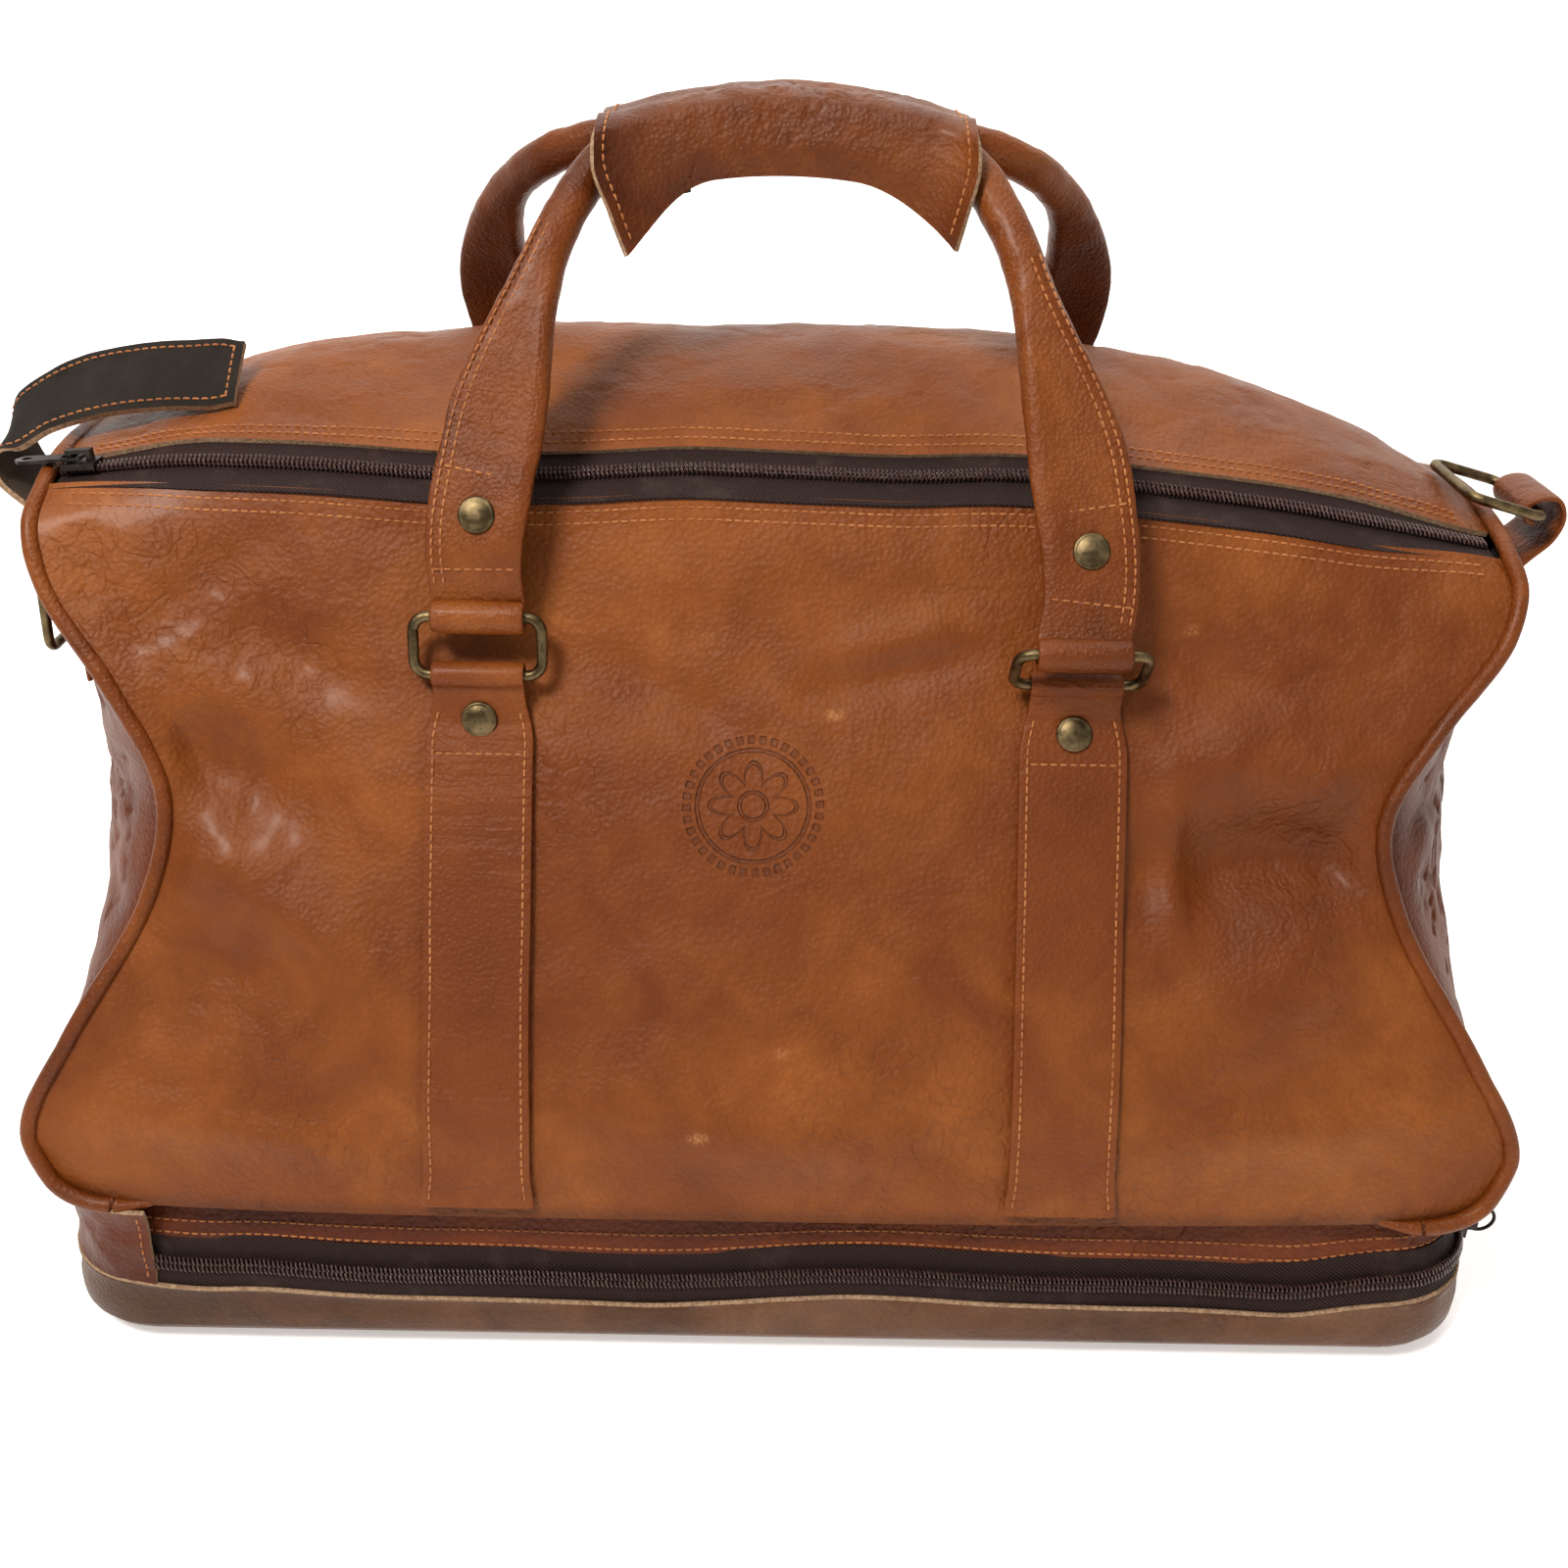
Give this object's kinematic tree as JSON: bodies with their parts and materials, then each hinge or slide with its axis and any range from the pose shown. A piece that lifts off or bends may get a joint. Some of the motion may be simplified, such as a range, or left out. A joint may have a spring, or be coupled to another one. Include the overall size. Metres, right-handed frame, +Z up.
{
  "type": "weekender bag",
  "caption": "Soft leather weekender bag with a zipped top mouth, a zipped shoe compartment below, two carrying handles on rings, sewn straps and shoulder rings.",
  "frame": {"origin": "middle of the footprint, on the ground the bag stands on", "axes": "+X along the bag to its right end as seen from the front, -Y to the front, +Z up"},
  "size_m": [0.5997, 0.292, 0.4367],
  "materials": {
    "leather": "smooth cognac leather, semi-gloss, soft creases",
    "tab_leather": "dark flesh side of the leather, matt, with a tan outer face",
    "board": "fibre stiffening board",
    "zip_tape": "dark brown woven zip tape with a nylon coil",
    "hook_tape": "black hook-and-loop tape",
    "antique_brass": "antique brass, brushed and darkened",
    "black_metal": "gunmetal black zip hardware"
  },
  "bodies": {
    "base": {"base_tray": "leather", "base_board": "board", "base_zip_tape_lower": "zip_tape", "base_back_wall": "leather", "base_gusset_left": "leather"},
    "main": {"front_panel": "leather", "back_panel": "leather", "top_end_left": "leather", "top_end_right": "leather", "end_panel_left": "leather", "piping_left": "leather", "end_panel_right": "leather", "piping_right": "leather", "base_zip_tape_upper": "zip_tape", "base_zip_band": "leather", "main_floor": "board", "strap_front_left": "leather", "strap_rivet_front_left": "antique_brass", "strap_front_right": "leather", "strap_rivet_front_right": "antique_brass", "strap_back_left": "leather", "strap_rivet_back_left": "antique_brass", "strap_back_right": "leather", "strap_rivet_back_right": "antique_brass", "top_zip_tape_front": "zip_tape", "top_zip_tape_end_left": "zip_tape", "top_zip_tape_end_right": "zip_tape", "ring_keeper_right": "leather", "ring_keeper_left": "leather"},
    "flap": {"top_panel": "leather", "top_zip_tape_back": "zip_tape"},
    "front_handle": {"handle_front": "leather", "ring_front_left": "antique_brass", "ring_front_right": "antique_brass", "handle_rivet_front_left": "antique_brass", "handle_rivet_front_right": "antique_brass", "handle_wrap": "leather"},
    "wrap_skirt": {"wrap_skirt": "leather", "wrap_hook_strip": "hook_tape"},
    "back_handle": {"handle_back": "leather", "ring_back_left": "antique_brass", "ring_back_right": "antique_brass", "handle_rivet_back_left": "antique_brass", "handle_rivet_back_right": "antique_brass"},
    "top_slider": {"top_slider": "black_metal"},
    "top_pull": {"top_pull": "black_metal"},
    "base_slider_front": {"base_slider_front": "black_metal"},
    "base_pull_front": {"base_pull_front": "black_metal"},
    "base_slider_back": {"base_slider_back": "black_metal"},
    "base_pull_back": {"base_pull_back": "black_metal"},
    "tab_left": {"tab_left": "tab_leather"},
    "ring_left": {"ring_left": "antique_brass"},
    "ring_right": {"ring_right": "antique_brass"}
  },
  "joints": [
    {"name": "base_open", "type": "hinge", "parent": "base", "child": "main", "pos_m": [0, 0.143, 0.044], "axis": [-1, 0, 0], "range_deg": [0, 35]},
    {"name": "top_flap_open", "type": "hinge", "parent": "main", "child": "flap", "pos_m": [0, 0.115, 0.306], "axis": [-1, 0, 0], "range_deg": [0, 24]},
    {"name": "front_handle_swing", "type": "hinge", "parent": "main", "child": "front_handle", "pos_m": [0, -0.0694, 0.246], "axis": [1, 0, 0], "range_deg": [0, 75]},
    {"name": "back_handle_swing", "type": "hinge", "parent": "main", "child": "back_handle", "pos_m": [0, 0.1389, 0.244], "axis": [-1, 0, 0], "range_deg": [0, 75]},
    {"name": "wrap_skirt_lift", "type": "hinge", "parent": "front_handle", "child": "wrap_skirt", "pos_m": [0, 0.0123, 0.4227], "axis": [-1, 0, 0], "range_deg": [0, 95]},
    {"name": "top_slider_run", "type": "hinge", "parent": "main", "child": "top_slider", "pos_m": [-0.08012, -0.027, -1.91298], "axis": [0, 1, 0], "range_deg": [0, 13.11]},
    {"name": "top_pull_flip", "type": "hinge", "parent": "top_slider", "child": "top_pull", "pos_m": [-0.25429, -0.027, 0.31093], "axis": [0, 1, 0], "range_deg": [0, 150]},
    {"name": "base_slider_front_turn", "type": "hinge", "parent": "main", "child": "base_slider_front", "pos_m": [0.236, -0.106, 0.0345], "axis": [0, 0, -1], "range_deg": [0, 80]},
    {"name": "base_slider_back_run", "type": "slide", "parent": "main", "child": "base_slider_back", "axis": [0, 1, 0], "range_m": [0, 0.175]},
    {"name": "base_pull_front_swing", "type": "hinge", "parent": "base_slider_front", "child": "base_pull_front", "pos_m": [0.27655, -0.1065, 0.0345], "axis": [0, 0, 1], "range_deg": [-50, 50]},
    {"name": "base_pull_back_swing", "type": "hinge", "parent": "base_slider_back", "child": "base_pull_back", "pos_m": [0.27655, -0.0925, 0.0345], "axis": [0, 0, 1], "range_deg": [-50, 50]},
    {"name": "tab_left_flip", "type": "hinge", "parent": "main", "child": "tab_left", "pos_m": [-0.2795, 0.012, 0.274], "axis": [0, -1, 0], "range_deg": [0, 65]},
    {"name": "ring_left_swing", "type": "hinge", "parent": "main", "child": "ring_left", "pos_m": [-0.2855, 0.012, 0.258], "axis": [0, 1, 0], "range_deg": [0, 90]},
    {"name": "ring_right_swing", "type": "hinge", "parent": "main", "child": "ring_right", "pos_m": [0.288, 0.012, 0.292], "axis": [0, 1, 0], "range_deg": [0, 150]}
  ],
  "couplings": [
    {"joint": "back_handle_swing", "follows": "front_handle_swing", "ratio": 1}
  ]
}
